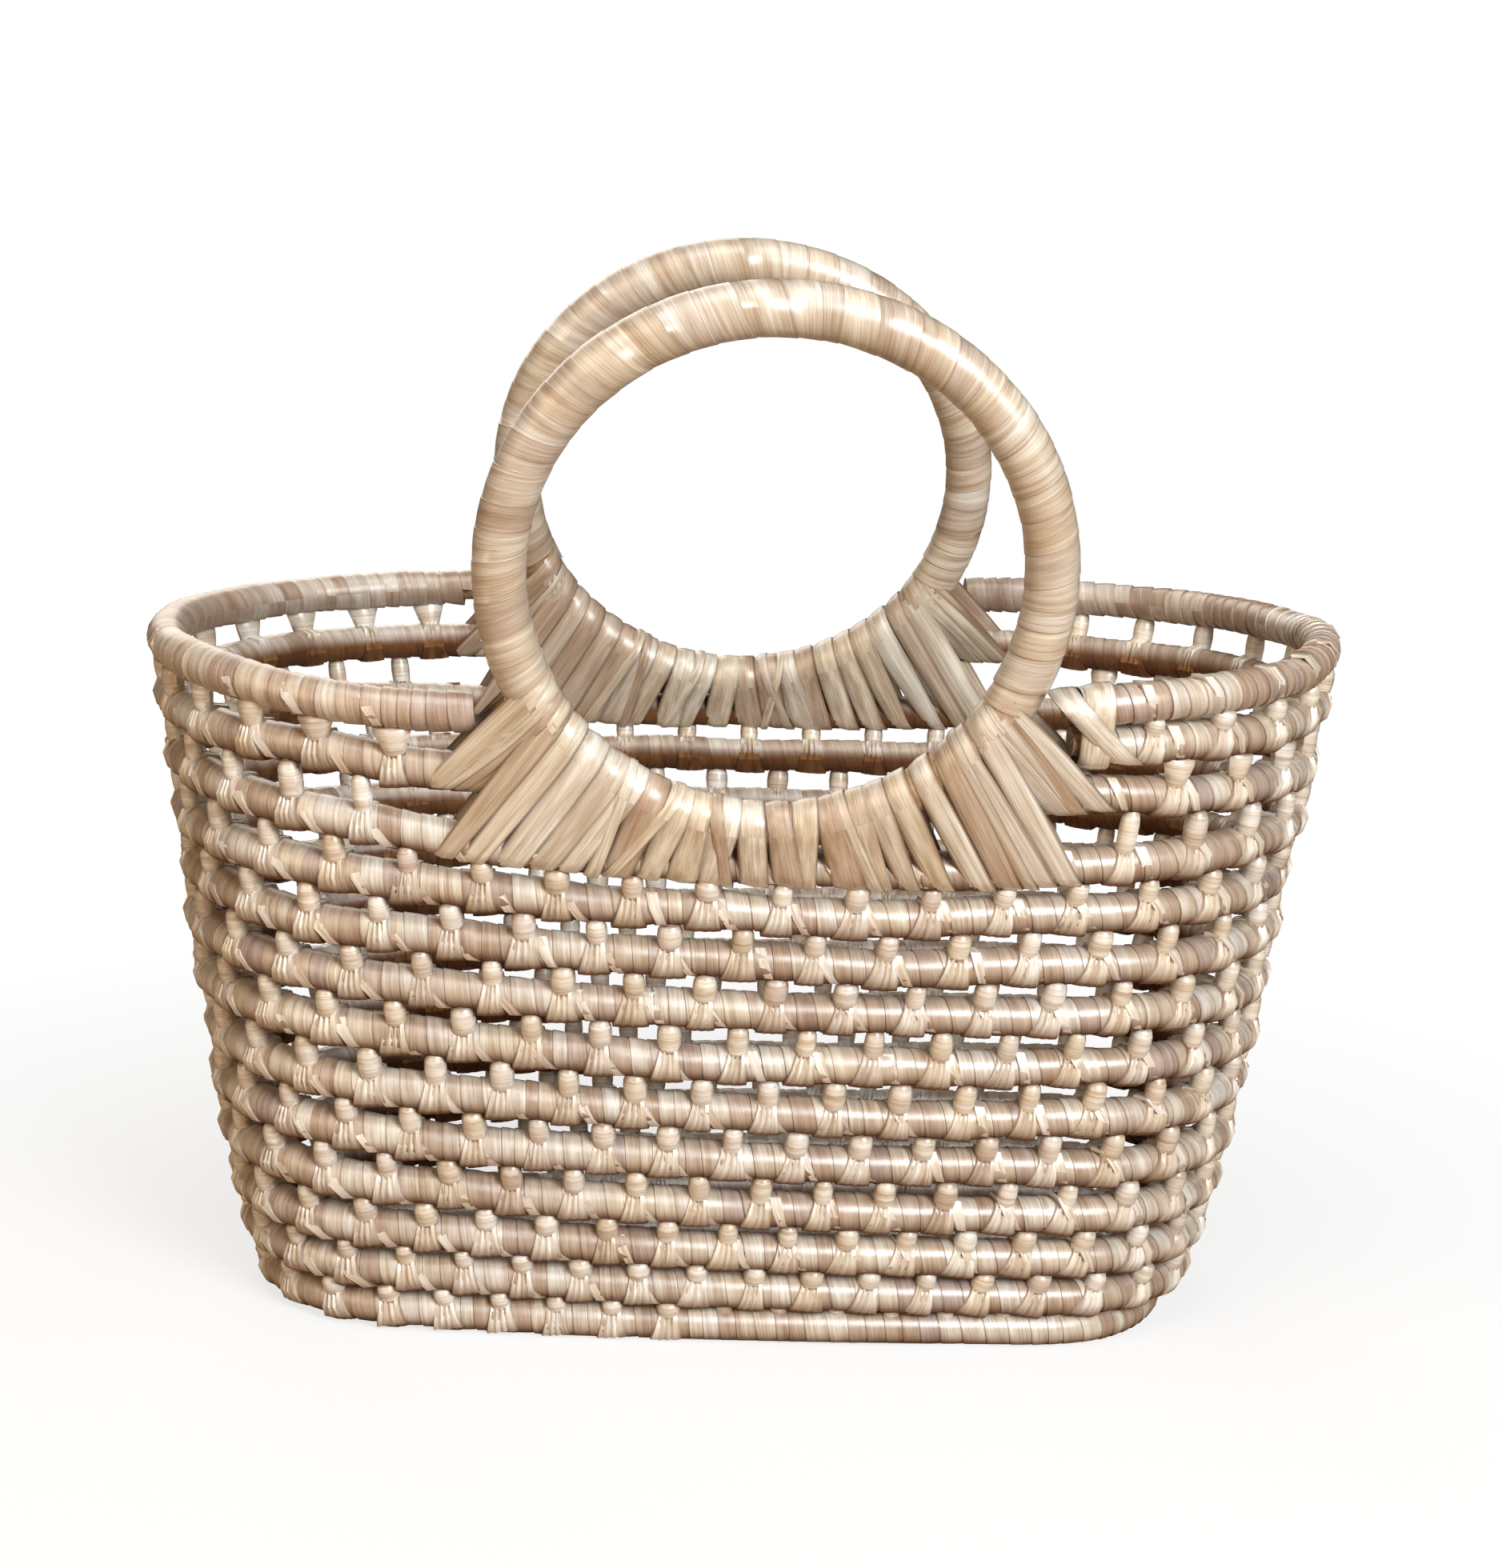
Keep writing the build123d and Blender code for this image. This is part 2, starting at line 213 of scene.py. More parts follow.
wave_knots = np.arange(0, coil_s[-1] + spare_length, wave_spacing)
wave_stages = quarter_s[[0, 4 * even_turns, wall_quarters - still_quarters]]
wave_fade = np.interp(coil_s, wave_stages, wave_shares)
smoothing = np.hanning(wave_smoothing)
smoothing /= smoothing.sum()
for direction in (coil_out, coil_up):
    wave = np.interp(coil_s, wave_knots, chance.normal(size=len(wave_knots)))
    wave = np.convolve(np.pad(wave, wave_smoothing // 2, mode="edge"), smoothing, mode="valid")
    coil = coil + direction * (wave_height * wave * wave_fade)[:, None]


def along_coil(s):
    """Point, way, outward and upward directions of the coil at lengths s, interpolated on its path."""
    found = []
    for values in (coil, coil_way, coil_out, coil_up):
        found.append(np.stack([np.interp(s, coil_s, values[:, axis]) for axis in range(3)], axis=-1))
    return found


# Leaf of every wrapping, stitch and strap: dried palm leaf in strips, pale straw with tan, yellow and mauve
# ones among them, fine fibre lines along each strip, and a painted shadow line in dark brown along its edges.
strip_pale = (0.65, 0.59, 0.505, 1)
strip_straw = (0.60, 0.51, 0.385, 1)
strip_tan = (0.44, 0.325, 0.235, 1)
strip_mauve = (0.41, 0.32, 0.275, 1)
tone_stops = [
    (0.0, strip_mauve),
    (0.14, strip_tan),
    (0.38, strip_straw),
    (0.62, strip_pale),
    (0.86, strip_tan),
]
streak_dark = (0.64, 0.52, 0.42, 1)
streak_light = (1.17, 1.23, 1.29, 1)
streak_range = (0.45, 0.85)
fibre_share = 0.55
broad_share = 0.75
stain_brown = (0.28, 0.14, 0.055, 1)
stain_range = (0.60, 0.80)
stain_strength = 0.35
# Painted shadow line along the strip edges: its dark brown, and the least share of its darkness on a strip.
edge_shadow_brown = (0.12, 0.050, 0.016, 1)
least_edge = 0.3
least_roughness = 0.23
roughness_spread = 0.30
# Painted shade on the underside and inside of the rows: its brown, its roughness, the turn of the lit side
# round a row, and the range over which the shade comes in.
painted_shade_brown = (0.25, 0.115, 0.04, 1)
hidden_roughness = 0.5
lit_side_turn = math.radians(118)
painted_shade_range = (0.62, -0.60)
sharp_angle = math.radians(50)


def fed(tree, node, inputs):
    """A node of a shader tree with a value or a link put to each of the inputs given."""
    for place, value in inputs.items():
        if isinstance(value, bpy.types.NodeSocket):
            tree.links.new(value, node.inputs[place])
        else:
            node.inputs[place].default_value = value
    return node


def added(tree, kind, inputs, **settings):
    """New node of a kind in a shader tree, with its settings and inputs."""
    node = tree.nodes.new(kind)
    for setting, value in settings.items():
        setattr(node, setting, value)
    return fed(tree, node, inputs)


def maths(tree, operation, *values):
    """Result of an operation on numbers or links."""
    return added(tree, "ShaderNodeMath", dict(enumerate(values)), operation=operation).outputs[0]


def mixed(tree, blend, share, first, second):
    """Colour blended from two colours or links, with a share of the second."""
    inputs = {0: share, 6: first, 7: second}
    return added(tree, "ShaderNodeMix", inputs, data_type="RGBA", blend_type=blend).outputs[2]


def ranged(tree, value, low, high, reach=1.0, interpolation="LINEAR"):
    """Value that goes from nothing at low to reach at high, and stays there beyond them."""
    inputs = {"Value": value, "From Min": low, "From Max": high, "To Max": reach}
    return added(tree, "ShaderNodeMapRange", inputs, interpolation_type=interpolation).outputs[0]


def leaf_group():
    """Shader group of a leaf strip: across runs from 0 to 1 over its width, along in metres down its length,
    tone picks its colour, edge says how dark the painted shadow line along its edges is and rim how broad. It
    gives colour, roughness and height."""
    group = bpy.data.node_groups.new("leaf strip", "ShaderNodeTree")
    for name in ("Across", "Along", "Tone", "Width", "Edge", "Rim"):
        group.interface.new_socket(name=name, in_out="INPUT", socket_type="NodeSocketFloat")
    for name, kind in (("Color", "Color"), ("Roughness", "Float"), ("Height", "Float")):
        group.interface.new_socket(name=name, in_out="OUTPUT", socket_type=f"NodeSocket{kind}")
    given = group.nodes.new("NodeGroupInput").outputs
    metres_across = maths(group, "MULTIPLY", given["Across"], given["Width"])

    def noise(across_scale, along_scale, shift, detail):
        """Noise that is stretched along the strip, and shifted from strip to strip by the tone."""
        place = {
            0: maths(group, "MULTIPLY", metres_across, across_scale),
            1: maths(group, "MULTIPLY", given["Along"], along_scale),
            2: maths(group, "MULTIPLY", given["Tone"], shift),
        }
        vector = added(group, "ShaderNodeCombineXYZ", place).outputs[0]
        texture = {"Vector": vector, "Scale": 1.0, "Detail": detail}
        return added(group, "ShaderNodeTexNoise", texture).outputs["Fac"]

    tones = added(group, "ShaderNodeValToRGB", {0: given["Tone"]})
    for place, _ in tone_stops[2:]:
        tones.color_ramp.elements.new(place)
    for element, (place, colour) in zip(tones.color_ramp.elements, tone_stops):
        element.position = place
        element.color = colour
    fibre = noise(across_scale=2600.0, along_scale=34.0, shift=91.0, detail=2.0)
    broad = noise(across_scale=420.0, along_scale=60.0, shift=57.0, detail=3.0)
    blots = noise(across_scale=300.0, along_scale=45.0, shift=211.0, detail=4.0)
    broad_part = maths(group, "MULTIPLY", broad, broad_share)
    dapple = maths(group, "ADD", maths(group, "MULTIPLY", fibre, fibre_share), broad_part)
    shade = mixed(group, "MIX", ranged(group, dapple, *streak_range), streak_dark, streak_light)
    coloured = mixed(group, "MULTIPLY", 1.0, tones.outputs[0], shade)
    stain = maths(group, "MULTIPLY", ranged(group, blots, *stain_range), stain_strength)
    stained = mixed(group, "MIX", stain, coloured, stain_brown)
    # Painted shadow line: dark brown towards both edges of each strip, darker on some strips than on others.
    from_middle = maths(group, "ABSOLUTE", maths(group, "SUBTRACT", given["Across"], 0.5))
    rim_start = maths(group, "SUBTRACT", 0.5, given["Rim"])
    rim = ranged(group, from_middle, rim_start, 0.5, interpolation="SMOOTHSTEP")
    lot = added(group, "ShaderNodeTexWhiteNoise", {"W": given["Tone"]}, noise_dimensions="1D")
    lot_squared = maths(group, "POWER", lot.outputs["Value"], 2.0)
    darkness = maths(group, "MULTIPLY_ADD", lot_squared, 1 - least_edge, least_edge)
    edge = maths(group, "MINIMUM", maths(group, "MULTIPLY", darkness, given["Edge"]), 1.0)
    fed(group, group.nodes.new("NodeGroupOutput"), {
        "Color": mixed(group, "MIX", maths(group, "MULTIPLY", rim, edge), stained, edge_shadow_brown),
        "Roughness": maths(group, "MULTIPLY_ADD", broad, roughness_spread, least_roughness),
        "Height": dapple,
    })
    return group


leaf_strip = leaf_group()


def leaf_material(name, width, edge, rim, tint, browned):
    """Material of leaf strips that are laid along a piece's own strip map, tinted as a whole. Where they go
    round a row, painted shade makes them brown and matt, without coat, on its underside and inside, as much
    as
    the share of painted shade says: by the cosine of the turn from the lit side."""
    material = bpy.data.materials.new(name)
    material.use_nodes = True
    tree = material.node_tree
    strip_map = added(tree, "ShaderNodeUVMap", {}, uv_map="strip").outputs[0]
    place = added(tree, "ShaderNodeSeparateXYZ", {0: strip_map}).outputs
    tone = added(tree, "ShaderNodeAttribute", {}, attribute_name="tone").outputs["Fac"]
    strip = {
        "Across": place["X"],
        "Along": place["Y"],
        "Tone": tone,
        "Width": width,
        "Edge": edge,
        "Rim": rim,
    }
    look = added(tree, "ShaderNodeGroup", strip, node_tree=leaf_strip).outputs
    tinted = mixed(tree, "MULTIPLY", 1.0, look["Color"], tint)
    turn = maths(tree, "MULTIPLY", place["Y"], 1 / row_radius)
    facing = maths(tree, "COSINE", maths(tree, "SUBTRACT", turn, lit_side_turn))
    # Painted shade: browner and matt, growing away from the lit side of the row.
    painted_shade_mask = ranged(tree, facing, *painted_shade_range, reach=browned, interpolation="SMOOTHSTEP")
    bump = {"Strength": 0.5, "Distance": 0.0005, "Height": look["Height"]}
    fed(tree, tree.nodes["Principled BSDF"], {
        "Base Color": mixed(tree, "MULTIPLY", painted_shade_mask, tinted, painted_shade_brown),
        "Roughness": maths(tree, "MULTIPLY_ADD", painted_shade_mask, hidden_roughness, look["Roughness"]),
        "Specular IOR Level": 0.45,
        "Coat Weight": maths(tree, "SUBTRACT", 1.0, painted_shade_mask) if browned else 1.0,
        "Coat Roughness": 0.37,
        "Coat IOR": 1.8,
        "Normal": added(tree, "ShaderNodeBump", bump).outputs[0],
    })
    return material


def leaf_piece(name, points, faces, strip_map, tones, material):
    """Mesh object of leaf strips: corner points, faces, each face corner's place in the strip map, and face
    tones. What would reach below the floor is pressed flat on it."""
    mesh = bpy.data.meshes.new(name)
    points[:, 2] = np.maximum(points[:, 2], 0.0)
    mesh.from_pydata(points.tolist(), [], [list(face) for face in faces])
    mesh.uv_layers.new(name="strip").data.foreach_set("uv", np.asarray(strip_map, np.float32).ravel())
    mesh.attributes.new("tone", "FLOAT", "FACE").data.foreach_set("value", np.asarray(tones, np.float32))
    mesh.materials.append(material)
    mesh.polygons.foreach_set("use_smooth", np.ones(len(mesh.polygons), bool))
    mesh.set_sharp_from_angle(angle=sharp_angle)
    piece = bpy.data.objects.new(name, mesh)
    bpy.context.scene.collection.objects.link(piece)
    return piece


# Rows of the coil: a bundle of fibre, which is the frame's core, wrapped edge over edge with leaf strip about
# 5.6 mm wide. They are held to each other by the stitches, and end in the base.
strip_width = 0.0056
strip_spread = 0.40
spare_strips = 1.2
strips_before = 2
same_tone_share = 0.45
end_tone = 0.05
strip_step = 0.00034
rim_strip_step = 0.00055
row_sides = 16
step_places = (0.0, 0.52, 0.985)
step_heights = (1.0, 0.72, 0.0)
row_swell = -0.00002
girth_spacing = 0.011
girth_spread = 0.035
from_centre = 0.02
row_tint = (1.03, 1.08, 1.14, 1)
rim_tint = (1.06, 1.10, 1.15, 1)
# Rows get the full painted shade on their underside and inside. The rim, whose top is lit, gets only a
# little.
row_leaf = leaf_material("row leaf", strip_width, edge=0.5, rim=0.07, tint=row_tint, browned=1.0)
rim_leaf = leaf_material("rim leaf", strip_width, edge=0.55, rim=0.07, tint=rim_tint, browned=0.3)
strip_count = int(coil_s[-1] / strip_width * spare_strips)
strip_widths = strip_width * (1 + strip_spread * chance.uniform(-1, 1, size=strip_count))
strip_edges = np.cumsum(strip_widths) - strips_before * strip_width
strip_tones = chance.uniform(size=strip_count)
same_tone = chance.uniform(size=strip_count) < same_tone_share
strip_tones = np.where(same_tone, np.roll(strip_tones, 1), strip_tones)


def wrapped_tube(first, last, edges, tones, frame_at, radius_at, sides, step):
    """Tube of overlapped strips: rings that shift by one strip per turn, as a strip wound round a rod does.
    Each strip falls from its raised edge to where the next one covers it. Both ends are closed to a middle
    point."""
    per_strip = len(step_places)
    strips = np.arange(first, last)
    phases = np.append((strips[:, None] + np.array(step_places)).ravel(), last)
    heights = np.append(np.tile(step_heights, len(strips)), step_heights[0])
    ring_count = len(phases)
    turns = np.arange(sides) / sides
    s = np.interp(phases[:, None] + turns, np.arange(len(edges)), edges)
    point, _, out, up = frame_at(s)
    radius = (radius_at(s) + step * heights[:, None])[..., None]
    angle = (2 * math.pi * turns)[None, :, None]
    points = point + radius * (np.sin(angle) * up - np.cos(angle) * out)
    index = np.arange(ring_count * sides).reshape(ring_count, sides)
    right = np.roll(index, -1, axis=1)
    right[:-per_strip, -1] = index[per_strip:, 0]
    whole = np.ones((ring_count - 1, sides), bool)
    whole[ring_count - 1 - per_strip :, -1] = False
    quads = np.stack([index[:-1], right[:-1], right[1:], index[1:]], axis=-1)[whole]
    across = np.append(step_places, 1.0)
    low = np.tile(across[:-1], len(strips))[:, None] + 0 * turns
    high = np.tile(across[1:], len(strips))[:, None] + 0 * turns
    girth = 2 * math.pi * row_radius
    near = girth * (np.repeat(strips, per_strip)[:, None] + turns)
    far = near + girth / sides
    quad_map = np.stack([low, near, low, far, high, far, high, near], axis=-1)[whole].reshape(-1, 2)
    quad_tones = (np.repeat(tones[strips], per_strip)[:, None] + 0 * turns)[whole]
    start_loop = np.concatenate([index[0], index[per_strip:0:-1, 0]])
    end_loop = np.concatenate([index[-1], index[-2 : -2 - per_strip : -1, -1]])
    middles = frame_at(np.interp([first + 1, last], np.arange(len(edges)), edges))[0]
    points = np.concatenate([points.reshape(-1, 3), middles])
    start_middle = np.full_like(start_loop, len(points) - 2)
    end_middle = np.full_like(end_loop, len(points) - 1)
    start_fan = np.stack([np.roll(start_loop, -1), start_loop, start_middle], axis=-1)
    end_fan = np.stack([end_loop, np.roll(end_loop, -1), end_middle], axis=-1)
    fans = np.concatenate([start_fan, end_fan])
    faces = quads.tolist() + fans.tolist()
    strip_map = np.concatenate([quad_map, np.full((fans.size, 2), 0.5)])
    face_tones = np.concatenate([quad_tones, np.full(len(fans), end_tone)])
    return points, faces, strip_map, face_tones


def cut_s(name, quarter, x_side, y_side):
    """Length along the coil at which a row of the frame stops beside a ring, in the quarter turn that it
    cuts."""
    mesh = frame["nodes"][f"{name}_wrapping"].data
    places = np.empty(3 * len(mesh.vertices), np.float32)
    mesh.vertices.foreach_get("co", places)
    places = places.reshape(-1, 3)
    reach = places[(places[:, 0] * x_side > from_centre) & (places[:, 1] * y_side > 0)][:, 0] * x_side
    span = slice(quarter_starts[quarter], quarter_starts[quarter + 1])
    along, x = coil_s[span], coil[span, 0] * x_side
    order = np.argsort(x)
    return float(np.interp(reach.min(), x[order], along[order]))


girth_knots = np.arange(0, coil_s[-1] + spare_length, girth_spacing)
girths = 1 + girth_spread * chance.normal(size=len(girth_knots))


def row_radius_at(s):
    """Radius under the strips, a little uneven along the coil."""
    return (row_radius + row_swell) * np.interp(s, girth_knots, girths)


row_spans = {}
half_rows = {"rim_right": (0, 1), "rim_left": (2, -1), "second_row_right": (4, 1), "second_row_left": (6, -1)}
for name, (quarter, x_side) in half_rows.items():
    row_spans[name] = (cut_s(name, quarter, x_side, -x_side), cut_s(name, quarter + 1, x_side, x_side))
row_spans["row_03"] = (cut_s("row_03", 4 * 2, 1, -1), quarter_s[4 * 3])
for turn in range(4, wall_turns + 1):
    row_spans[f"row_{turn:02d}"] = (quarter_s[4 * turn - 4], quarter_s[4 * turn])
row_spans["base"] = (quarter_s[wall_quarters], coil_s[-1])
for name, (first_s, last_s) in row_spans.items():
    first_strip, last_strip = np.searchsorted(strip_edges, (first_s, last_s))
    step, leaf = (rim_strip_step, rim_leaf) if name.startswith("rim") else (strip_step, row_leaf)
    made = wrapped_tube(first_strip, last_strip, strip_edges, strip_tones, along_coil, row_radius_at,
                        row_sides, step)
    row = leaf_piece(f"{name}_leaf", *made, leaf)
    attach(row, "basket")
    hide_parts(f"{name}_wrapping")


# Ring handles: a cane hoop, which is the frame's own, with a grip of leaf strip wound over its free part.
# Each ring tilts about the row under it.
ring_radius = 0.074
hoop_radius = 0.0063
grip_radius = 0.0073
grip_strip = 0.0085
grip_strip_spread = 0.5
grip_step = 0.00020
grip_unevenness = 0.00012
grip_sides = 24
free_turn = math.radians(61.0)
middling_tones = (0.3, 0.8)
grip_tint = (1.05, 1.07, 1.09, 1)
grip_leaf = leaf_material("grip leaf", grip_strip, edge=0.6, rim=0.05, tint=grip_tint, browned=0.0)
joints = {joint["child"]: joint for joint in frame["joints"]}
ring_frames = {}
for side in ("front", "back"):
    low, high = (np.array(corner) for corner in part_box(f"{side}_hoop"))
    centre = (low + high) / 2
    foot = np.array(joints[f"{side}_handle"]["pos_m"])
    up = (centre - foot) / np.linalg.norm(centre - foot)
    ring_frames[side] = (centre, foot, up)


def ring_frame_at(centre, up):
    """Function giving the ring's point, way and section directions at a length round it from its lowest
    point."""

    def at(s):
        """The spoke is the sine of the turn sideways less its cosine upwards, and the way lies across it."""
        turn = (s / ring_radius)[..., None]
        spoke = np.sin(turn) * headings[0] - np.cos(turn) * up
        way = np.cos(turn) * headings[0] + np.sin(turn) * up
        return centre + ring_radius * spoke, way, spoke, np.cross(spoke, way)

    return at


for side, (centre, _, up) in ring_frames.items():
    free_length = (2 * math.pi - 2 * free_turn) * ring_radius
    strips = round(free_length / grip_strip)
    widths = chance.uniform(1 - grip_strip_spread, 1 + grip_strip_spread, size=strips + 1)
    edges = free_turn * ring_radius + np.append(0.0, np.cumsum(widths)) * free_length / widths.sum()
    swell = chance.uniform(-grip_unevenness, grip_unevenness, size=strips + 2)
    tones = chance.uniform(*middling_tones, size=strips + 2)
    made = wrapped_tube(0, strips, edges, tones, ring_frame_at(centre, up),
                        lambda s: grip_radius + np.interp(s, edges, swell), grip_sides, grip_step)
    grip = leaf_piece(f"{side}_grip_leaf", *made, grip_leaf)
    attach(grip, f"{side}_handle")
    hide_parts(f"{side}_grip")


# Lashings: a fan of flat straps at each handle's foot. Each strap is looped round the hoop and round a row,
# the middle ones round the row under the ring and the outer ones round the cut ends of the row above it. A
# few narrow straps lie over the others.
lash_angle = 62.0
lash_turn_angle = 45.0
lash_reach = 0.086
lash_side_near = 0.076
lash_side_far = 0.090
frame_straps = 21
hoop_spread = 1.2
middle_straps = 20
outer_straps = 4
outer_gap = 2
narrow_straps = 5
narrow_reach = 0.9
narrow_slant = 2
narrowing = 0.55
strap_width = 0.0084
strap_row_width = 0.0092
strap_thickness = 0.0005
strap_shingle = 0.0005
strap_section = np.array([[-1, 0], [-0.92, 1], [0, 1.9], [0.92, 1], [1, 0]])
strap_length = 0.12
strap_arc_points = 9
strap_straight_points = 7
strap_layer = 0.0006
hoop_clearance = 0.0002
row_clearance = 0.0001
hoop_width_range = (0.85, 1.15)
row_width_range = (0.65, 1.15)
strap_tones = (0.1, 1.0)
angle_jitter = 0.7
foot_jitter = 0.002
strap_tint = (1.20, 1.26, 1.29, 1)
# Straps have strong painted shadow lines along their edges and no painted shade.
strap_leaf = leaf_material("strap leaf", strap_width, edge=1.4, rim=0.13, tint=strap_tint, browned=0.0)
arc_turns = np.linspace(-0.5, 0.5, strap_arc_points) * math.pi
straight_shares = np.linspace(0, 1, strap_straight_points)[1:-1]


def strip_batch(points, closed, along, across, tones, wound=False):
    """Points, faces, strip map and tones of many strips, each a grid of rows down its length and columns
    round its section, which closes on itself. Rows close too if closed is true, and otherwise each end gets a
    cap. Fibres run down the rows, or round the section of a wound strip."""
    count, rows, columns = points.shape[:3]
    index = np.arange(count * rows * columns).reshape(count, rows, columns)
    spans = rows if closed else rows - 1
    top = index[:, :spans]
    below = np.roll(index, -1, axis=1)[:, :spans]
    quads = np.stack([top, np.roll(top, -1, axis=2), np.roll(below, -1, axis=2), below], axis=-1)
    along_next = np.append(along, 2 * along[-1] - along[-2])[1 : spans + 1]
    across_next = np.roll(across, -1)
    corner_map = np.empty((count, spans, columns, 4, 2))
    corner_map[..., 0] = np.stack([across, across_next, across_next, across], axis=-1)
    corner_map[..., 1] = np.stack([along[:spans], along[:spans], along_next, along_next], axis=-1)[:, None]
    if wound:
        corner_map = corner_map[..., ::-1]
    faces = quads.reshape(-1, 4).tolist()
    strip_maps = [corner_map.reshape(-1, 2)]
    face_tones = [np.repeat(tones, spans * columns)]
    if not closed:
        for cap in (index[:, 0, ::-1], index[:, -1]):
            faces += cap.tolist()
            strip_maps.append(np.full((cap.size, 2), 0.5))
            face_tones.append(tones)
    return points.reshape(-1, 3), faces, np.concatenate(strip_maps), np.concatenate(face_tones)


def joined(batches):
    """Several batches of points, faces, strip map and tones as one."""
    starts = np.cumsum([0] + [len(batch[0]) for batch in batches])
    faces = []
    for start, batch in zip(starts, batches):
        faces += [[start + corner for corner in face] for face in batch[1]]
    points, strip_map, tones = (np.concatenate([batch[place] for batch in batches]) for place in (0, 2, 3))
    return points, faces, strip_map, tones


def loops(starts, start_ways, start_radius, ends, end_ways, end_radius, start_widths, end_widths, tones):
    """Straps looped round pairs of tubes like belts round two rollers. The belt's width turns from the first
    tube's way to the second's, and one edge stands a little higher than the other."""
    ways = ends - starts
    spans = np.linalg.norm(ways, axis=1)
    ways /= spans[:, None]
    end_ways = end_ways * np.sign(np.sum(start_ways * end_ways, axis=1))[:, None]
    middle = start_ways + end_ways
    middle -= ways * np.sum(middle * ways, axis=1)[:, None]
    middle /= np.linalg.norm(middle, axis=1)[:, None]
    side = np.cross(middle, ways)
    flank = np.stack([0 * straight_shares, 1 + 0 * straight_shares], axis=-1)
    first = np.stack([-np.cos(arc_turns), np.sin(arc_turns)], axis=-1)
    normals = np.concatenate([first, flank, -first, -flank])
    shares = np.concatenate([0 * arc_turns, straight_shares, 1 + 0 * arc_turns, 1 - straight_shares])
    share = shares[None, :, None]
    across = start_ways[:, None] * (1 - share) + end_ways[:, None] * share
    across /= np.linalg.norm(across, axis=2)[:, :, None]
    outwards = ways[:, None] * normals[None, :, :1] + side[:, None] * normals[None, :, 1:]
    centre = starts[:, None] + ways[:, None] * spans[:, None, None] * share
    height = strap_thickness * strap_section[:, 1] + strap_shingle * strap_section[:, 0]
    lift = (start_radius + (end_radius - start_radius) * shares)[:, None] + height
    width = start_widths[:, None] * (1 - shares) + end_widths[:, None] * shares
    spread = width[:, :, None] / 2 * strap_section[:, 0]
    points = centre[:, :, None] + outwards[:, :, None] * lift[None, :, :, None]
    points = points + across[:, :, None] * spread[..., None]
    lengths = np.linspace(0, strap_length, points.shape[1])
    return strip_batch(points, True, lengths, (strap_section[:, 0] + 1) / 2, tones)


def row_at(index, x):
    """Point and way of a quarter turn of the coil where it passes a place along the basket's length."""
    span = slice(quarter_starts[index], quarter_starts[index + 1])
    order = np.argsort(coil[span, 0])
    s = np.interp(x, coil[span, 0][order], coil_s[span][order])
    point, way, _, _ = along_coil(np.array([s]))
    return point[0], way[0]


def lash_place(side, angle, shift):
    """Where a strap goes round the hoop and round a row: hoop point and way, row point and way. Straps are
    counted by angle from the ring's lowest point. The middle ones spread further on the hoop, and a shift
    moves the foot."""
    centre, foot, up = ring_frames[side]
    beyond = max(abs(angle) - lash_turn_angle, 0.0) / (lash_angle - lash_turn_angle)
    turn_edge = lash_turn_angle * hoop_spread
    turn = min(abs(angle), lash_turn_angle) * hoop_spread + beyond * (lash_angle - turn_edge)
    turn = math.copysign(math.radians(turn), angle)
    hoop_point = centre + ring_radius * (np.array([math.sin(turn), 0, 0]) - up * math.cos(turn))
    hoop_way = np.array([math.cos(turn), 0, 0]) + up * math.sin(turn)
    row = int(4 * handle_levels[side])
    leaving = headings[row % 4][0]
    x = lash_reach * angle / lash_turn_angle
    if abs(angle) > lash_turn_angle:
        row -= 4
        x = math.copysign(lash_side_near + (lash_side_far - lash_side_near) * beyond, angle)
    x += foot[0] + shift
    return hoop_point, hoop_way, *row_at(row if x * leaving > 0 else row - 1, x)


lash_angles = np.linspace(-lash_angle, lash_angle, frame_straps)
strap_feet = {}
for side in ring_frames:
    strap_feet[side] = np.array([lash_place(side, angle, 0.0)[2] for angle in lash_angles])
outer_angles = np.linspace(lash_turn_angle + outer_gap, lash_angle, outer_straps)
strap_groups = {
    "left": -outer_angles,
    "middle": np.linspace(-lash_turn_angle, lash_turn_angle, middle_straps),
    "right": outer_angles,
}
for side, (_, foot, up) in ring_frames.items():
    for group, even_angles in strap_groups.items():
        angles = even_angles + chance.uniform(-angle_jitter, angle_jitter, size=len(even_angles))
        angles = np.clip(angles, even_angles.min(), even_angles.max())
        batches = []
        for layer in range(2 if group == "middle" else 1):
            if layer == 1:
                angles = chance.uniform(-narrow_reach, narrow_reach, size=narrow_straps) * lash_turn_angle
            count = len(angles)
            shifts = chance.uniform(-foot_jitter, foot_jitter, size=count) * (1 + narrow_slant * layer)
            places = [lash_place(side, angle, shift) for angle, shift in zip(angles, shifts)]
            hoop_points, hoop_ways, row_points, row_ways = (np.array(values) for values in zip(*places))
            width_share = 1 - narrowing * layer
            batches.append(loops(
                hoop_points, hoop_ways, hoop_radius + hoop_clearance + strap_layer * layer,
                row_points, row_ways, row_radius + row_clearance + strap_layer * layer,
                strap_width * width_share * chance.uniform(*hoop_width_range, size=count),
                strap_row_width * width_share * chance.uniform(*row_width_range, size=count),
                chance.uniform(*strap_tones, size=count),
            ))
        lashing = leaf_piece(f"{side}_lashing_{group}_leaf", *joined(batches), strap_leaf)
        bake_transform(lashing)
        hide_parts(f"{side}_lashing")


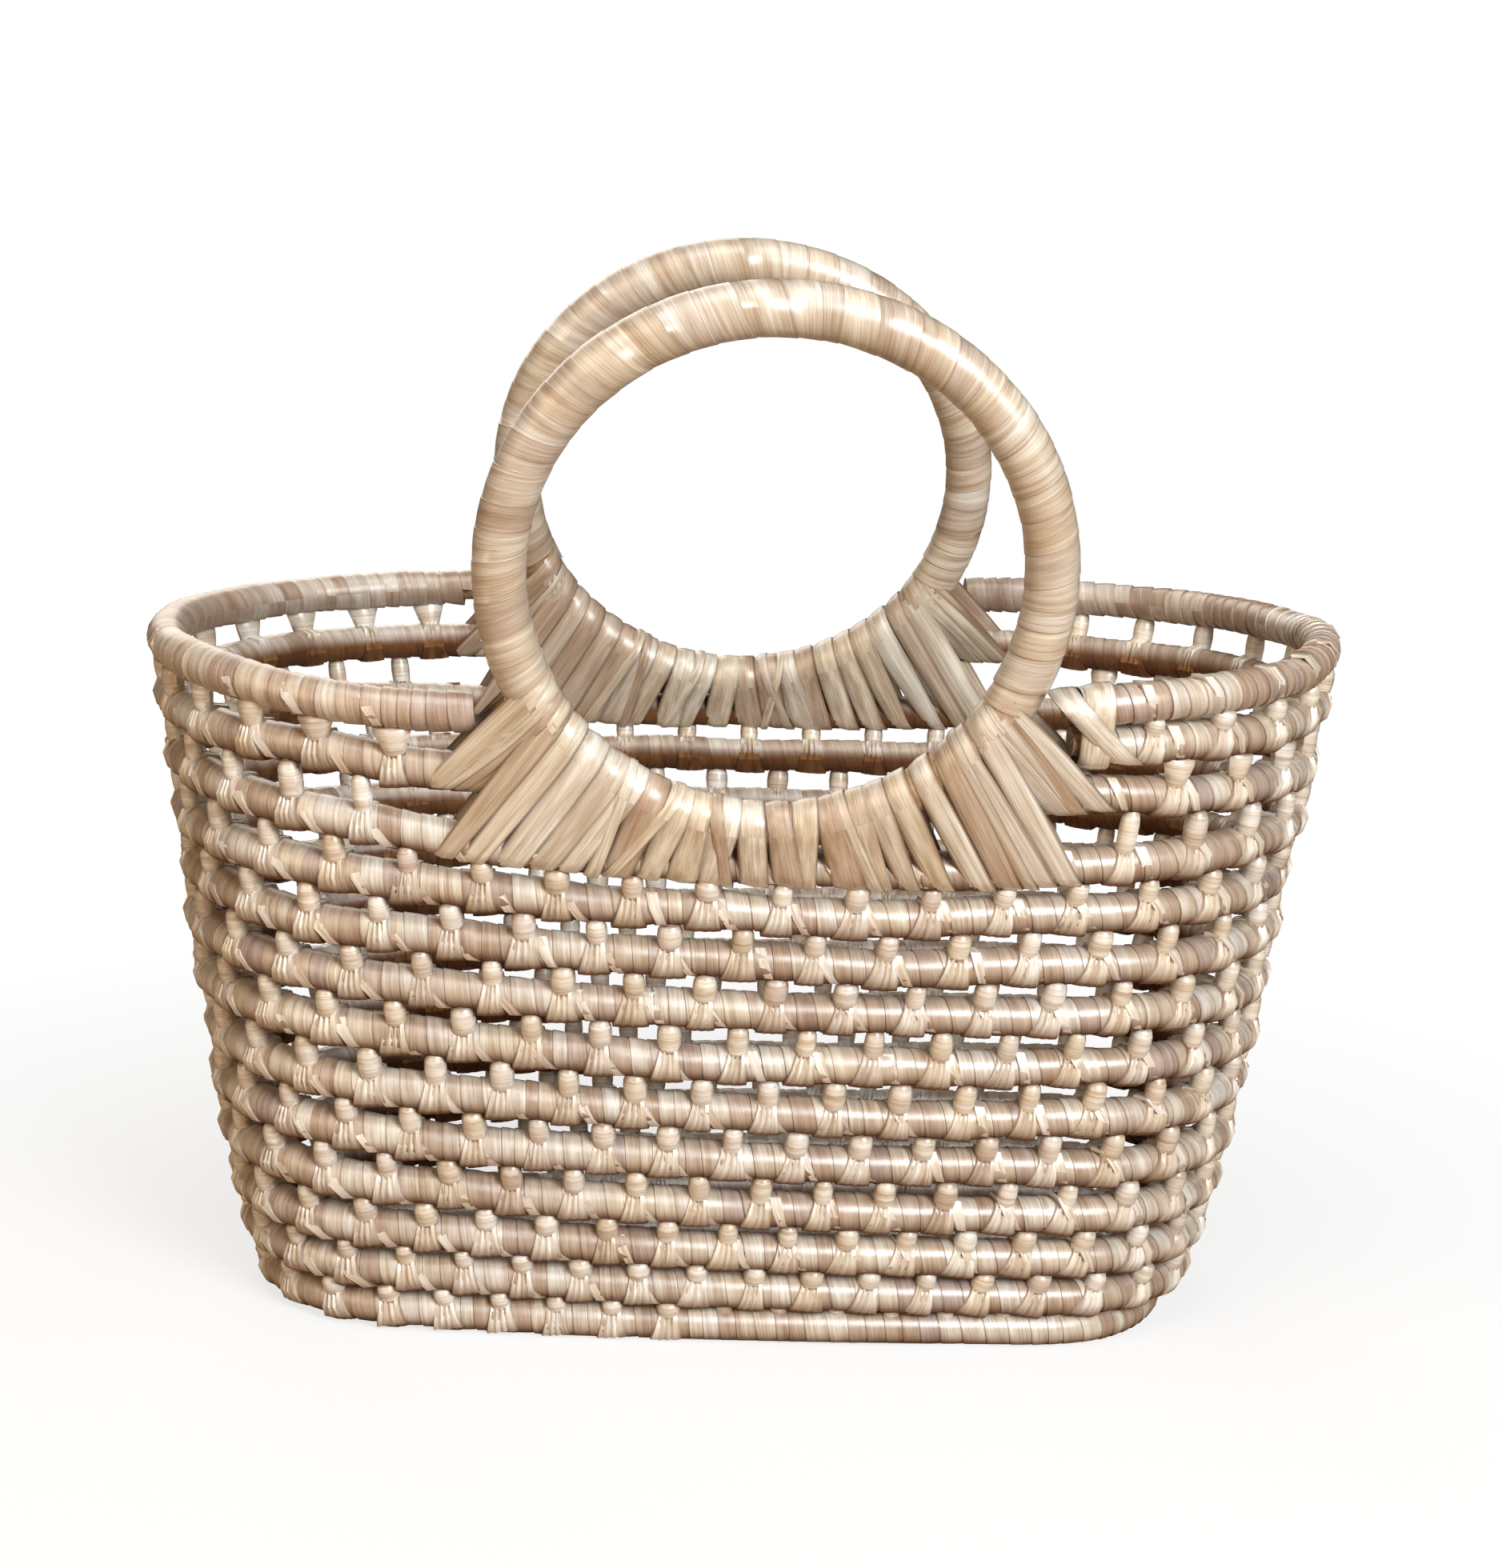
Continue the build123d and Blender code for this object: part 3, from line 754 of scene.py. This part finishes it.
# Knot stitches: at each one a strip goes round the lower row as a pleated fan, is gathered in a wound neck
# between the rows, and a tail of the upper row's wrapping slants down into the neck.
stitches_per_turn = 40.5
collar_length = 0.008
collar_room = 0.0102
neck_room = 0.0089
fan_strip = 0.009
fan_turns = np.radians([8, 45, 82, 118, 152, 195, 250, 318])
fan_half_widths = np.array([2.6, 2.9, 3.7, 4.5, 5.1, 4.8, 3.6, 2.7]) / 1000
fan_shifts = np.array([0.0, -0.2, -0.5, -0.8, -1.0, -0.8, -0.3, 0.0]) / 1000
fan_places = np.array([1.0, 0.95, 0.56, 0.36, 0.12, -0.12, -0.38, -0.60, -0.95, -1.0])
fan_lifts = np.array([-0.4, 0.95, 1.2, 1.0, 1.3, 1.0, 1.25, 1.0, 1.0, -0.4]) / 1000
fan_sizes = (0.85, 1.15)
fan_leans = (0.6, 1.4)
pleated = np.array([0, 0, 0, 1.0, 0, 1.0, 0, 1.0, 0, 0])
pleat_depths = np.array([1.1, 1.1, 0.65, 0.12, -0.15, -0.2, 0.3, 0.8]) / 1000
pleat_shares = (0.6, 1.3)
neck_rises = np.array([0.0, 0.22, 0.5, 0.76, 0.93, 1.0])
neck_radii = np.array([2.8, 3.2, 3.4, 3.2, 2.6, 1.7]) / 1000
neck_sides = 8
neck_sink = 0.0014
neck_out = 0.0021
neck_sizes = (0.88, 1.12)
neck_tilt = 0.0004
neck_depth = 0.94
neck_fibre = 0.003
neck_flare = 1.1
flared_sides = {0: -1, 1: 1}
tail_turns = np.radians([-20, 25, 70, 120, 172])
tail_shifts = np.array([-9.6, -8.5, -6.6, -3.8, -1.2]) / 1000
tail_half_widths = np.array([1.7, 1.8, 1.8, 1.4, 0.9]) / 1000
tail_places = np.array([1.0, 0.9, -0.9, -1.0])
tail_lifts = np.array([-0.4, 0.72, 0.62, -0.4]) / 1000
tail_sinks = np.array([0.9, 0.1, 0.0, 0.0, 0.0]) / 1000
tail_tones = (0.2, 0.8)
stitch_tint = (1.30, 1.40, 1.52, 1)
# Fans and tails get the painted shade of the rows too. Necks get none.
stitch_leaf = leaf_material("stitch leaf", fan_strip, edge=0.8, rim=0.10, tint=stitch_tint, browned=1.0)
neck_leaf = leaf_material("neck leaf", fan_strip, edge=0.9, rim=0.16, tint=stitch_tint, browned=0.0)


def stitch_places(index):
    """Lengths along the coil of the stitches between a quarter turn and the one below it, upper and lower,
    where both rows are there and no strap is in the way."""
    first, last = (math.ceil(place * stitches_per_turn / 4) for place in (index, index + 1))
    places = 4 * np.arange(first, last) / stitches_per_turn - index
    upper = quarter_s[index] + places * (quarter_s[index + 1] - quarter_s[index])
    lower = quarter_s[index + 4] + places * (quarter_s[index + 5] - quarter_s[index + 4])
    kept = np.ones(len(places), bool)
    for s in (upper, lower):
        there = np.zeros(len(places), bool)
        for first_s, last_s in row_spans.values():
            free_start = first_s + (collar_length if first_s not in quarter_s else 0)
            free_end = last_s - (collar_length if last_s not in quarter_s else 0)
            there |= (s >= free_start - rounding) & (s < free_end)
        kept &= there
    outer = abs(lash_angles) > lash_turn_angle
    for feet in strap_feet.values():
        from_lower = np.linalg.norm(along_coil(lower)[0][:, None] - feet, axis=2)
        from_upper = np.linalg.norm(along_coil(upper)[0][:, None] - feet, axis=2)
        kept &= (from_lower > collar_room).all(axis=1) & (from_upper[:, outer] > neck_room).all(axis=1)
    return upper[kept], lower[kept]


def stitch_frames(upper, lower_s):
    """Lower point, span to the upper point, and the way, outward and upward directions of each stitch."""
    lower, way, _, _ = along_coil(lower_s)
    up = upper - lower
    span = np.linalg.norm(up, axis=1)
    up /= span[:, None]
    way = way - up * np.sum(way * up, axis=1)[:, None]
    way /= np.linalg.norm(way, axis=1)[:, None]
    return lower, span, way, np.cross(way, up), up


def on_stitches(values):
    """Values of each stitch, spread over the rows and columns of its grid."""
    return values[:, None, None]


def necks(lower, span, way, out, up, rises, radii, sink, outwards, flare, tones):
    """Wound necks: round posts from the lower row to the upper one, set outwards, swelling and then drawing
    in. Where flare is above nothing they widen upwards along the rows, as a funnel does."""
    count = len(lower)
    around = 2 * math.pi * np.arange(neck_sides) / neck_sides
    rise = rises[:, None, None]
    start = row_radius - sink
    height = start + rise * (on_stitches(span[:, None]) - 2 * start)
    girth = radii[:, None, None] * chance.uniform(*neck_sizes, size=(count, 1, 1, 1))
    tilt = chance.uniform(-neck_tilt, neck_tilt, size=(count, 1, 1, 1)) * (rise - 0.5)
    points = on_stitches(lower) + on_stitches(up) * height
    widening = 1 + on_stitches(flare[:, None]) * rise**2
    points = points + on_stitches(way) * (girth * widening * np.cos(around)[:, None] + tilt)
    points = points + on_stitches(out) * (outwards - girth * neck_depth * np.sin(around)[:, None])
    return strip_batch(points, False, rises, around * neck_fibre, tones, wound=True)


def round_row(turns, up, out):
    """Directions from a row's middle at turns round it: the cosine upwards and the sine outwards."""
    turn = turns[:, None, None]
    return np.cos(turn) * on_stitches(up) + np.sin(turn) * on_stitches(out)


def wall_stitches(upper_s, lower_s, flared_side):
    """All the stitches between two turns: fan, neck and tail of each, with sizes that vary a little. Also the
    number of faces that are not on a neck, which come first."""
    count = len(upper_s)
    lower, span, way, out, up = stitch_frames(along_coil(upper_s)[0], lower_s)
    tones = chance.uniform(*middling_tones, size=count)
    size = chance.uniform(*fan_sizes, size=(count, 1, 1, 1))
    lean = chance.uniform(*fan_leans, size=(count, 1, 1, 1))
    depth = chance.uniform(*pleat_shares, size=(count, 1, len(fan_places), 1))
    pleats = pleat_depths[:, None, None] * pleated[:, None] * depth
    lift = row_radius + fan_lifts[:, None] - pleats
    half_width = fan_half_widths[:, None, None] * size
    sideways = fan_shifts[:, None, None] * lean + half_width * fan_places[:, None]
    points = on_stitches(lower) + on_stitches(way) * sideways + lift * round_row(fan_turns, up, out)
    along = (fan_turns + math.pi / 2) * row_radius
    fans = strip_batch(points, True, along, (fan_places + 1) / 2, tones)
    lift = row_radius + tail_lifts[:, None] - tail_sinks[:, None, None]
    half_width = tail_half_widths[:, None, None] * size
    sideways = tail_shifts[:, None, None] * lean + half_width * tail_places[:, None]
    upper = lower + up * span[:, None]
    points = on_stitches(upper) + on_stitches(way) * sideways + lift * round_row(tail_turns, up, out)
    along = (tail_turns + math.pi / 2) * row_radius
    tails = strip_batch(points, False, along, (tail_places + 1) / 2, chance.uniform(*tail_tones, size=count))
    flare = neck_flare * (lower[:, 0] * flared_side > 0)
    posts = necks(lower, span, way, out, up, neck_rises, neck_radii, neck_sink, neck_out, flare, tones)
    return joined([fans, tails, posts]), len(fans[1]) + len(tails[1])


for number in range(wall_turns - 1):
    places = [stitch_places(index) for index in range(4 * number, 4 * number + 4)]
    upper_s, lower_s = (np.concatenate(lengths) for lengths in zip(*places))
    made, flat_faces = wall_stitches(upper_s, lower_s, flared_sides.get(number, 0))
    stitches = leaf_piece(f"stitches_{number + 1:02d}_leaf", *made, stitch_leaf)
    stitches.data.materials.append(neck_leaf)
    on_neck = np.arange(len(stitches.data.polygons)) >= flat_faces
    stitches.data.polygons.foreach_set("material_index", on_neck.astype(np.int32))
    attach(stitches, "basket")
    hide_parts(f"stitches_{number + 1:02d}")


# Stitches of the base: short wound necks that join the base's rows to each other and to the wall's foot, each
# across the narrowest place.
base_neck_rises = np.array([0.0, 0.35, 0.65, 1.0])
base_neck_radii = np.array([2.6, 2.9, 2.9, 2.6]) / 1000
base_neck_sink = 0.0012
upper_points, lower_lengths = [], []
for index in range(wall_quarters - 4, wall_quarters + base_quarters - 4):
    upper = along_coil(stitch_places(index)[0])[0]
    below = slice(quarter_starts[index + 3], quarter_starts[min(index + 6, wall_quarters + base_quarters)])
    nearest = np.linalg.norm(upper[:, None] - coil[below], axis=2).argmin(axis=1)
    upper_points.append(upper)
    lower_lengths.append(coil_s[below][nearest])
lower_s = np.concatenate(lower_lengths)
base_tones = chance.uniform(*middling_tones, size=len(lower_s))
made = necks(*stitch_frames(np.concatenate(upper_points), lower_s), base_neck_rises, base_neck_radii,
             base_neck_sink, 0.0, np.zeros(len(lower_s)), base_tones)
base_stitches = leaf_piece("base_stitches_leaf", *made, neck_leaf)
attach(base_stitches, "basket")
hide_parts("base_stitches")


# Binding of the coil's upper end: flat straps looped round the rim row and the row below it, right of the
# front handle. One goes straight down and one slants across it.
binding_insets = np.array([0.0095, 0.0045])
binding_slants = np.array([0.0, 0.0110])
binding_tones = np.array([0.45, 0.62])
binding_width = np.array([0.009])
binding_clearance = 0.0004
binding_layer = 0.0008
start_points, start_ways, _, _ = along_coil(row_spans["rim_right"][0] + binding_insets)
below = [row_at(4, x) for x in start_points[:, 0] + binding_slants]
below_points, below_ways = (np.array(values) for values in zip(*below))
batches = []
for strap in range(len(binding_tones)):
    one = [strap]
    radius = row_radius + binding_clearance + binding_layer * strap
    batches.append(loops(
        start_points[one], start_ways[one], radius,
        below_points[one], below_ways[one], radius,
        binding_width, binding_width, binding_tones[one],
    ))
binding = leaf_piece("end_binding_leaf", *joined(batches), strap_leaf)
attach(binding, "basket")
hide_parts("end_binding")


# Cores and hoops: the frame's own rods, of loose fibre and of cane, which show only at cut ends and between
# straps.
fibre_dark = (0.22, 0.13, 0.06, 1)
fibre_pale = (0.42, 0.29, 0.17, 1)
cane_dark = (0.34, 0.20, 0.10, 1)
cane_pale = (0.52, 0.36, 0.20, 1)
grain_range = (0.35, 0.65)


def rod_material(name, dark, pale, grain, roughness):
    """Material of a plain rod: a grain of so many streaks per metre between two colours."""
    material = bpy.data.materials.new(name)
    material.use_nodes = True
    tree = material.node_tree
    place = added(tree, "ShaderNodeTexCoord", {}).outputs["Object"]
    texture = {"Vector": place, "Scale": grain, "Detail": 3.0}
    streaks = added(tree, "ShaderNodeTexNoise", texture).outputs["Fac"]
    bump = {"Strength": 0.3, "Distance": 0.0003, "Height": streaks}
    fed(tree, tree.nodes["Principled BSDF"], {
        "Base Color": mixed(tree, "MIX", ranged(tree, streaks, *grain_range), dark, pale),
        "Roughness": roughness,
        "Normal": added(tree, "ShaderNodeBump", bump).outputs[0],
    })
    return material


rod_materials = {
    "core": rod_material("core fibre", fibre_dark, fibre_pale, grain=900.0, roughness=0.8),
    "hoop": rod_material("cane", cane_dark, cane_pale, grain=500.0, roughness=0.45),
}
for name, node in frame["nodes"].items():
    kind = name.split("_")[-1]
    if kind in rod_materials:
        node.data.materials.clear()
        node.data.materials.append(rod_materials[kind])


# Stage: a white floor, which takes a faint shadow near the basket, and a white backdrop. Soft light comes
# from the upper right front and from above, with a weaker warm fill from the left and a weak light from
# behind.
floor_size = 6.0
floor_bounce = (0.36, 0.24, 0.14, 1)
floor_roughness = 0.9
floor_shadow = 0.25
shadow_range = (0.45, 0.18)
paper_white = (0.9, 0.9, 0.9, 1)
room_warm = (1.0, 0.74, 0.50, 1)
room_strength = 0.05
light_aim = np.array([0, 0, 0.12])


def camera_sees(tree, output, seen, otherwise):
    """Gives a tree's output one surface for the camera and another for all other light."""
    camera_ray = added(tree, "ShaderNodeLightPath", {}).outputs["Is Camera Ray"]
    surface = added(tree, "ShaderNodeMixShader", {0: camera_ray, 1: otherwise, 2: seen}).outputs[0]
    fed(tree, tree.nodes[output], {"Surface": surface})


half = floor_size / 2
mesh = bpy.data.meshes.new("floor")
mesh.from_pydata([(-half, -half, 0), (half, -half, 0), (half, half, 0), (-half, half, 0)], [], [(0, 1, 2, 3)])
floor = bpy.data.objects.new("floor", mesh)
bpy.context.scene.collection.objects.link(floor)
white = bpy.data.materials.new("white floor")
white.use_nodes = True
tree = white.node_tree
bounce = {"Base Color": floor_bounce, "Roughness": floor_roughness}
floor_shader = fed(tree, tree.nodes["Principled BSDF"], bounce)
place = added(tree, "ShaderNodeTexCoord", {}).outputs["Object"]
distance = added(tree, "ShaderNodeVectorMath", {0: place}, operation="LENGTH").outputs["Value"]
lit = added(tree, "ShaderNodeMixShader", {
    0: ranged(tree, distance, *shadow_range, reach=floor_shadow),
    1: added(tree, "ShaderNodeEmission", {}).outputs[0],
    2: added(tree, "ShaderNodeBsdfDiffuse", {"Color": paper_white}).outputs[0],
})
camera_sees(tree, "Material Output", lit.outputs[0], floor_shader.outputs[0])
mesh.materials.append(white)

world = bpy.data.worlds.new("studio")
world.use_nodes = True
bpy.context.scene.world = world
tree = world.node_tree
room = fed(tree, tree.nodes["Background"], {"Color": room_warm, "Strength": room_strength})
backdrop = added(tree, "ShaderNodeBackground", {"Color": (1, 1, 1, 1), "Strength": 1.0})
camera_sees(tree, "World Output", backdrop.outputs[0], room.outputs[0])


def placed(right, up, back, place):
    """Matrix of an object at a place, with its own axes along right, up and back."""
    return Matrix(np.column_stack([right, up, back, place]).tolist() + [[0, 0, 0, 1]])


def soft_light(name, place, size, power, colour):
    """Square area light at a place, facing the basket's middle."""
    light = bpy.data.lights.new(name, "AREA")
    light.size = size
    light.energy = power
    light.color = colour
    lamp = bpy.data.objects.new(name, light)
    back = np.array(place) - light_aim
    back /= np.linalg.norm(back)
    right = np.cross((0, 0, 1.0), back)
    right /= np.linalg.norm(right)
    lamp.matrix_world = placed(right, np.cross(back, right), back, place)
    bpy.context.scene.collection.objects.link(lamp)


soft_light("key", (0.66, -1.15, 0.80), size=0.6, power=22, colour=(1.0, 1.0, 1.0))
soft_light("top", (-0.10, -0.50, 1.25), size=0.7, power=6, colour=(1.0, 1.0, 1.0))
soft_light("fill", (-0.9, -0.9, 0.6), size=0.9, power=6.5, colour=(1.0, 0.76, 0.52))
soft_light("back", (-0.5, 1.3, 0.9), size=1.0, power=7, colour=(1.0, 0.92, 0.82))

# Camera: in front of the basket, a little left of it and above its rim, as the photo was taken. It is turned
# by yaw and pitch and then rolled, in radians.
camera_place = np.array([-0.0269, -0.800, 0.3234])
camera_yaw = 0.038
camera_pitch = 0.197
camera_roll = -0.041
camera = bpy.data.cameras.new("camera")
camera.sensor_width = 36.0
camera.lens = 59.85
view = bpy.data.objects.new("camera", camera)
forward = np.array([
    math.sin(camera_yaw) * math.cos(camera_pitch),
    math.cos(camera_yaw) * math.cos(camera_pitch),
    -math.sin(camera_pitch),
])
level_right = np.array([math.cos(camera_yaw), -math.sin(camera_yaw), 0.0])
level_down = np.cross(forward, level_right)
right = math.cos(camera_roll) * level_right + math.sin(camera_roll) * level_down
down = math.cos(camera_roll) * level_down - math.sin(camera_roll) * level_right
view.matrix_world = placed(right, -down, -forward, camera_place)
bpy.context.scene.collection.objects.link(view)
bpy.context.scene.camera = view
bpy.context.scene.view_settings.view_transform = "Standard"
